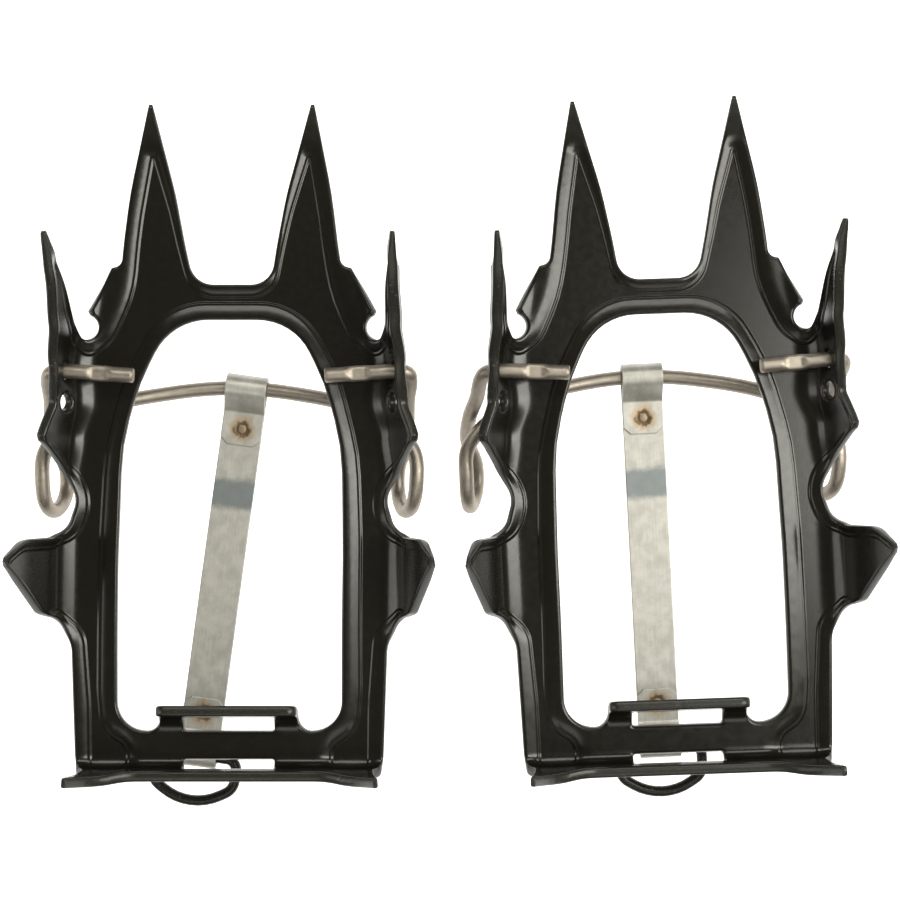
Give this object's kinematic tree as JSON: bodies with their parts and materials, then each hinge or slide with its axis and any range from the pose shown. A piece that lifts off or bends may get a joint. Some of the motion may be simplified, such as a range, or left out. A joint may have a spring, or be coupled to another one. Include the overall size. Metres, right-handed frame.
{
  "type": "crampons",
  "caption": "Pair of strap-on crampon toe sections: spiked bent steel frames with hinged wire toe bails, folded instep bands and strap rings.",
  "frame": {"origin": "middle of the pair's bounding box in X and Y, at its lowest point", "axes": "+Y toward the front points, +Z toward the ground side, away from the boot; the right crampon is at +X"},
  "size_m": [0.2298, 0.1952, 0.0576],
  "materials": {
    "black_paint": "satin gloss black over steel",
    "satin_nickel": "satin nickel",
    "brushed_stainless": "brushed along its length",
    "black_steel": "gloss black"
  },
  "bodies": {
    "left_frame": {"left_frame": "black_paint"},
    "left_toe_bail": {"left_toe_bail": "satin_nickel"},
    "left_instep_band": {"left_instep_band": "brushed_stainless"},
    "left_strap_ring": {"left_strap_ring": "black_steel"},
    "right_frame": {"right_frame": "black_paint"},
    "right_toe_bail": {"right_toe_bail": "satin_nickel"},
    "right_instep_band": {"right_instep_band": "brushed_stainless"},
    "right_strap_ring": {"right_strap_ring": "black_steel"}
  },
  "joints": [
    {"name": "left_bail_hinge", "type": "hinge", "parent": "left_frame", "child": "left_toe_bail", "pos_m": [-0.05893, 0.02318, 0.03183], "axis": [1, 0, 0], "range_deg": [-4, 65]},
    {"name": "left_band_hinge", "type": "hinge", "parent": "left_toe_bail", "child": "left_instep_band", "pos_m": [-0.05693, 0.01928, 0.00489], "axis": [0.9907, -0.1357, 0], "range_deg": [-3, 90]},
    {"name": "left_ring_hinge", "type": "hinge", "parent": "left_instep_band", "child": "left_strap_ring", "pos_m": [-0.07099, -0.08336, 0.00439], "axis": [0.9907, -0.1357, 0], "range_deg": [-10, 60]},
    {"name": "right_bail_hinge", "type": "hinge", "parent": "right_frame", "child": "right_toe_bail", "pos_m": [0.05727, 0.02488, 0.03183], "axis": [0.9994, 0.0349, 0], "range_deg": [-4, 65]},
    {"name": "right_band_hinge", "type": "hinge", "parent": "right_toe_bail", "child": "right_instep_band", "pos_m": [0.05364, 0.02261, 0.00465], "axis": [0.9987, 0.0506, 0], "range_deg": [-3, 90]},
    {"name": "right_ring_hinge", "type": "hinge", "parent": "right_instep_band", "child": "right_strap_ring", "pos_m": [0.05889, -0.08086, 0.00415], "axis": [0.9987, 0.0506, 0], "range_deg": [-10, 60]},
    {"name": "right_crampon_slide", "type": "slide", "parent": "left_frame", "child": "right_frame", "axis": [1, 0, 0], "range_m": [0, 0.1]}
  ]
}
